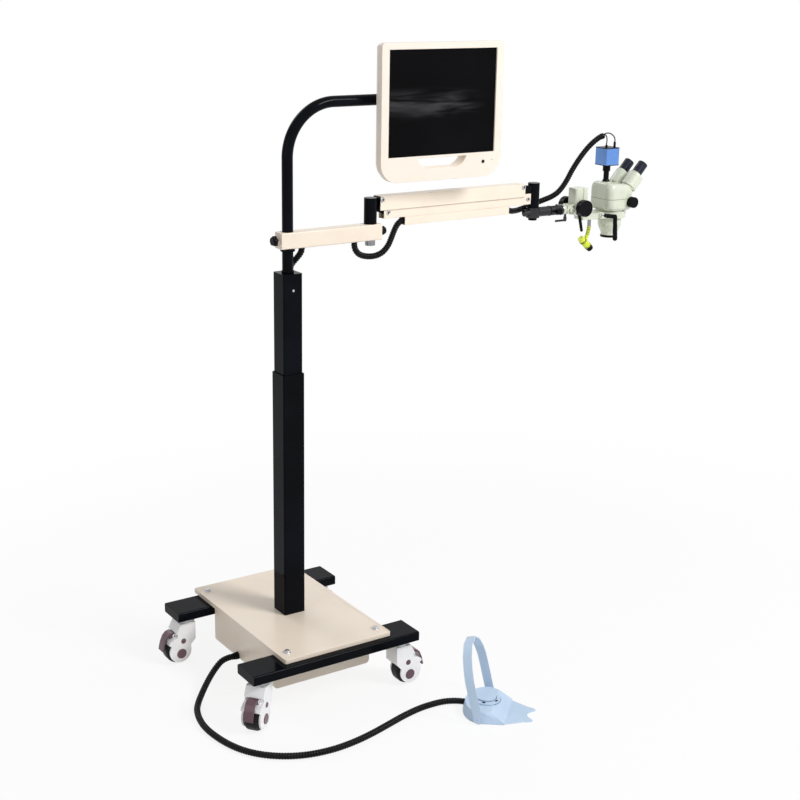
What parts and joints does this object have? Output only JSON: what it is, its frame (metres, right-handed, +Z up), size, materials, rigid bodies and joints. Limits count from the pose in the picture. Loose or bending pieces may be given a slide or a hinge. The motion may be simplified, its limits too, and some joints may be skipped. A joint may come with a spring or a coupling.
{
  "type": "dental microscope",
  "caption": "Binocular dental microscope with camera and lamp on a jointed balance arm, with a monitor, a lifting column on a wheeled base and a foot control.",
  "frame": {"origin": "on the floor, under the middle of the box round the whole part, its pedal hose left out", "axes": "+Z up; +X along the arms towards the microscope; the monitor's screen faces -Y"},
  "size_m": [1.7976, 0.9585, 1.868],
  "materials": {
    "cream_paint": "satin",
    "cream_plastic": "satin",
    "black_gloss": "gloss",
    "silver_steel": "brushed",
    "grey_steel": "satin",
    "black_plastic": "satin",
    "black_hose": "satin",
    "pedal_plastic": "satin",
    "gunmetal": "gloss",
    "scope_paint": "satin paint",
    "camera_blue": "anodised",
    "lamp_yellow": "satin",
    "screen_black": "gloss",
    "caster_white": "gloss",
    "tyre_black": "satin",
    "brake_mauve": "satin"
  },
  "bodies": {
    "stand": {"base_plate": "cream_paint", "legs": "black_gloss", "power_box": "cream_paint", "base_bolts": "silver_steel", "column_outer": "black_gloss", "lift_actuator": "grey_steel", "caster_stems": "silver_steel", "hose_gland": "black_plastic", "pedal_hose": "black_hose", "pedal_base": "pedal_plastic"},
    "lift": {"column_inner": "black_gloss", "monitor_pole": "black_gloss", "pole_hose": "black_hose"},
    "monitor": {"monitor_bracket": "black_gloss", "monitor_back": "cream_plastic", "monitor_front": "cream_plastic", "monitor_screen": "screen_black"},
    "power_button": {"monitor_button": "black_plastic"},
    "lower_arm": {"arm_beam": "cream_paint", "elbow_hose": "black_hose"},
    "pole_knob": {"pole_knob": "black_plastic"},
    "post_knob": {"post_knob": "black_plastic"},
    "elbow": {"elbow_post": "black_gloss"},
    "upper_link": {"upper_link": "cream_paint"},
    "lower_link": {"lower_link": "cream_paint", "head_hose": "black_hose"},
    "wrist": {"wrist_post": "black_gloss"},
    "short_arm": {"short_arm": "gunmetal"},
    "roll_knob": {"roll_knob": "black_plastic"},
    "roll_joint": {"tilt_joint": "scope_paint"},
    "tilt_lever": {"tilt_lever": "gunmetal"},
    "focus_block": {"focus_block": "scope_paint"},
    "focus_knobs": {"focus_knobs": "black_plastic"},
    "slide_lever": {"slide_lever": "black_plastic"},
    "carrier": {"ring_carrier": "scope_paint"},
    "ring_lever": {"ring_lever": "black_plastic"},
    "scope": {"scope_body": "scope_paint", "objective": "scope_paint", "camera": "camera_blue"},
    "zoom": {"zoom_knobs": "black_plastic"},
    "eye_left": {"prism_left": "scope_paint", "ocular_left": "black_plastic"},
    "eye_right": {"prism_right": "scope_paint", "ocular_right": "black_plastic"},
    "lamp_neck": {"lamp_neck": "lamp_yellow"},
    "lamp_head": {"lamp_head": "lamp_yellow"},
    "pedal_disc": {"pedal_disc": "pedal_plastic"},
    "pedal_handle": {"pedal_handle": "pedal_plastic"},
    "caster_front_left": {"caster_housing_front_left": "caster_white"},
    "wheel_front_left": {"caster_wheel_front_left": "tyre_black"},
    "brake_front_left": {"caster_brake_front_left": "brake_mauve"},
    "caster_front_right": {"caster_housing_front_right": "caster_white"},
    "wheel_front_right": {"caster_wheel_front_right": "tyre_black"},
    "brake_front_right": {"caster_brake_front_right": "brake_mauve"},
    "caster_rear_left": {"caster_housing_rear_left": "caster_white"},
    "wheel_rear_left": {"caster_wheel_rear_left": "tyre_black"},
    "brake_rear_left": {"caster_brake_rear_left": "brake_mauve"},
    "caster_rear_right": {"caster_housing_rear_right": "caster_white"},
    "wheel_rear_right": {"caster_wheel_rear_right": "tyre_black"},
    "brake_rear_right": {"caster_brake_rear_right": "brake_mauve"}
  },
  "joints": [
    {"name": "column_lift", "type": "slide", "parent": "stand", "child": "lift", "axis": [0, 0, 1], "range_m": [-0.28, 0.1]},
    {"name": "monitor_tilt", "type": "hinge", "parent": "lift", "child": "monitor", "pos_m": [-0.0559, 0.1883, 1.707], "axis": [1, 0, 0], "range_deg": [-15, 20]},
    {"name": "power_press", "type": "slide", "parent": "monitor", "child": "power_button", "axis": [0, 1, 0], "range_m": [0, 0.0012], "stiffness_N_per_m": 150, "springref_m": -0.003},
    {"name": "lower_arm_swivel", "type": "hinge", "parent": "lift", "child": "lower_arm", "pos_m": [-0.5309, 0.1883, 1.3279], "axis": [0, 0, 1], "range_deg": [-90, 90], "deforming": ["pole_hose"]},
    {"name": "pole_knob_turn", "type": "hinge", "parent": "lower_arm", "child": "pole_knob", "pos_m": [-0.5709, 0.1883, 1.3279], "axis": [1, 0, 0], "continuous": true},
    {"name": "post_knob_turn", "type": "hinge", "parent": "lower_arm", "child": "post_knob", "pos_m": [-0.2109, 0.1883, 1.3279], "axis": [1, 0, 0], "continuous": true},
    {"name": "elbow_swivel", "type": "hinge", "parent": "lower_arm", "child": "elbow", "pos_m": [-0.2549, 0.1883, 1.3279], "axis": [0, 0, 1], "range_deg": [-110, 110], "deforming": ["elbow_hose"]},
    {"name": "upper_link_pitch", "type": "hinge", "parent": "elbow", "child": "upper_link", "pos_m": [-0.22412, 0.19197, 1.4209], "axis": [0.1184, -0.993, 0], "range_deg": [-25, 30]},
    {"name": "link_pitch", "type": "hinge", "parent": "elbow", "child": "lower_link", "pos_m": [-0.19731, 0.19517, 1.3799], "axis": [0.1184, -0.993, 0], "range_deg": [-25, 30]},
    {"name": "wrist_level", "type": "hinge", "parent": "lower_link", "child": "wrist", "pos_m": [0.37849, 0.26383, 1.36775], "axis": [0.1184, -0.993, 0], "range_deg": [-30, 25]},
    {"name": "wrist_swivel", "type": "hinge", "parent": "wrist", "child": "short_arm", "pos_m": [0.41523, 0.26821, 1.32], "axis": [0, 0, 1], "range_deg": [-120, 120], "deforming": ["head_hose"]},
    {"name": "roll_knob_turn", "type": "hinge", "parent": "short_arm", "child": "roll_knob", "pos_m": [0.50423, 0.23821, 1.32], "axis": [0, 1, 0], "continuous": true},
    {"name": "head_roll", "type": "hinge", "parent": "short_arm", "child": "roll_joint", "pos_m": [0.52223, 0.26821, 1.32], "axis": [1, 0, 0], "range_deg": [-45, 45]},
    {"name": "tilt_lever_turn", "type": "hinge", "parent": "roll_joint", "child": "tilt_lever", "pos_m": [0.55122, 0.26821, 1.3], "axis": [0, 0, 1], "range_deg": [-60, 60]},
    {"name": "head_tilt", "type": "hinge", "parent": "roll_joint", "child": "focus_block", "pos_m": [0.56122, 0.26821, 1.32], "axis": [0, 1, 0], "range_deg": [-38, 38]},
    {"name": "focus_travel", "type": "slide", "parent": "focus_block", "child": "carrier", "axis": [0, 0, 1], "range_m": [-0.02, 0.02]},
    {"name": "focus_knob_turn", "type": "hinge", "parent": "focus_block", "child": "focus_knobs", "pos_m": [0.59323, 0.26821, 1.326], "axis": [0, 1, 0], "range_deg": [-160, 160]},
    {"name": "slide_lever_turn", "type": "hinge", "parent": "focus_block", "child": "slide_lever", "pos_m": [0.58622, 0.24321, 1.308], "axis": [0, 1, 0], "range_deg": [-25, 25]},
    {"name": "ring_lever_turn", "type": "hinge", "parent": "carrier", "child": "ring_lever", "pos_m": [0.67922, 0.22821, 1.297], "axis": [0, 1, 0], "range_deg": [-20, 20]},
    {"name": "scope_turn", "type": "hinge", "parent": "carrier", "child": "scope", "pos_m": [0.74523, 0.26821, 1.282], "axis": [0, 0, 1], "range_deg": [-60, 60]},
    {"name": "zoom_turn", "type": "hinge", "parent": "scope", "child": "zoom", "pos_m": [0.78522, 0.26821, 1.334], "axis": [0, 1, 0], "range_deg": [-150, 150]},
    {"name": "eye_left_swing", "type": "hinge", "parent": "scope", "child": "eye_left", "pos_m": [0.78722, 0.29921, 1.3774], "axis": [0.6691, 0, 0.7431], "range_deg": [-8, 8]},
    {"name": "eye_right_swing", "type": "hinge", "parent": "scope", "child": "eye_right", "pos_m": [0.78722, 0.23721, 1.3774], "axis": [0.6691, 0, 0.7431], "range_deg": [-8, 8]},
    {"name": "lamp_turn", "type": "hinge", "parent": "carrier", "child": "lamp_neck", "pos_m": [0.65622, 0.26821, 1.29], "axis": [0, 0, 1], "range_deg": [-90, 90]},
    {"name": "lamp_tilt", "type": "hinge", "parent": "lamp_neck", "child": "lamp_head", "pos_m": [0.64323, 0.26821, 1.2], "axis": [0, 1, 0], "range_deg": [-30, 15]},
    {"name": "swivel_front_left", "type": "hinge", "parent": "stand", "child": "caster_front_left", "pos_m": [-0.7759, -0.0747, 0.13], "axis": [0, 0, 1], "continuous": true},
    {"name": "roll_front_left", "type": "hinge", "parent": "caster_front_left", "child": "wheel_front_left", "pos_m": [-0.80033, -0.09379, 0.0425], "axis": [0.6157, -0.788, 0], "continuous": true},
    {"name": "brake_front_left_press", "type": "hinge", "parent": "caster_front_left", "child": "brake_front_left", "pos_m": [-0.81215, -0.10302, 0.0935], "axis": [0.6157, -0.788, 0], "range_deg": [-10, 8]},
    {"name": "swivel_front_right", "type": "hinge", "parent": "stand", "child": "caster_front_right", "pos_m": [-0.3099, -0.0747, 0.13], "axis": [0, 0, 1], "continuous": true},
    {"name": "roll_front_right", "type": "hinge", "parent": "caster_front_right", "child": "wheel_front_right", "pos_m": [-0.2789, -0.0747, 0.0425], "axis": [0, 1, 0], "continuous": true},
    {"name": "brake_front_right_press", "type": "hinge", "parent": "caster_front_right", "child": "brake_front_right", "pos_m": [-0.2639, -0.0747, 0.0935], "axis": [0, 1, 0], "range_deg": [-10, 8]},
    {"name": "swivel_rear_left", "type": "hinge", "parent": "stand", "child": "caster_rear_left", "pos_m": [-0.7759, 0.4063, 0.13], "axis": [0, 0, 1], "continuous": true},
    {"name": "roll_rear_left", "type": "hinge", "parent": "caster_rear_left", "child": "wheel_rear_left", "pos_m": [-0.8069, 0.4063, 0.0425], "axis": [0, -1, 0], "continuous": true},
    {"name": "brake_rear_left_press", "type": "hinge", "parent": "caster_rear_left", "child": "brake_rear_left", "pos_m": [-0.8219, 0.4063, 0.0935], "axis": [0, -1, 0], "range_deg": [-10, 8]},
    {"name": "swivel_rear_right", "type": "hinge", "parent": "stand", "child": "caster_rear_right", "pos_m": [-0.3099, 0.4063, 0.13], "axis": [0, 0, 1], "continuous": true},
    {"name": "roll_rear_right", "type": "hinge", "parent": "caster_rear_right", "child": "wheel_rear_right", "pos_m": [-0.28077, 0.4169, 0.0425], "axis": [-0.342, 0.9397, 0], "continuous": true},
    {"name": "brake_rear_right_press", "type": "hinge", "parent": "caster_rear_right", "child": "brake_rear_right", "pos_m": [-0.26667, 0.42203, 0.0935], "axis": [-0.342, 0.9397, 0], "range_deg": [-10, 8]},
    {"name": "pedal_press", "type": "slide", "parent": "stand", "child": "pedal_disc", "axis": [0, 0, 1], "range_m": [-0.004, 0], "stiffness_N_per_m": 1500, "springref_m": 0.004},
    {"name": "handle_fold", "type": "hinge", "parent": "stand", "child": "pedal_handle", "pos_m": [-0.18564, -0.34878, 0.017], "axis": [0.729, 0.6845, 0], "range_deg": [-55, 85]}
  ],
  "couplings": [
    {"joint": "upper_link_pitch", "follows": "link_pitch", "ratio": 1},
    {"joint": "wrist_level", "follows": "link_pitch", "ratio": -1},
    {"joint": "focus_knob_turn", "follows": "focus_travel", "rad_per_m": 133.33},
    {"joint": "eye_right_swing", "follows": "eye_left_swing", "ratio": -1}
  ]
}
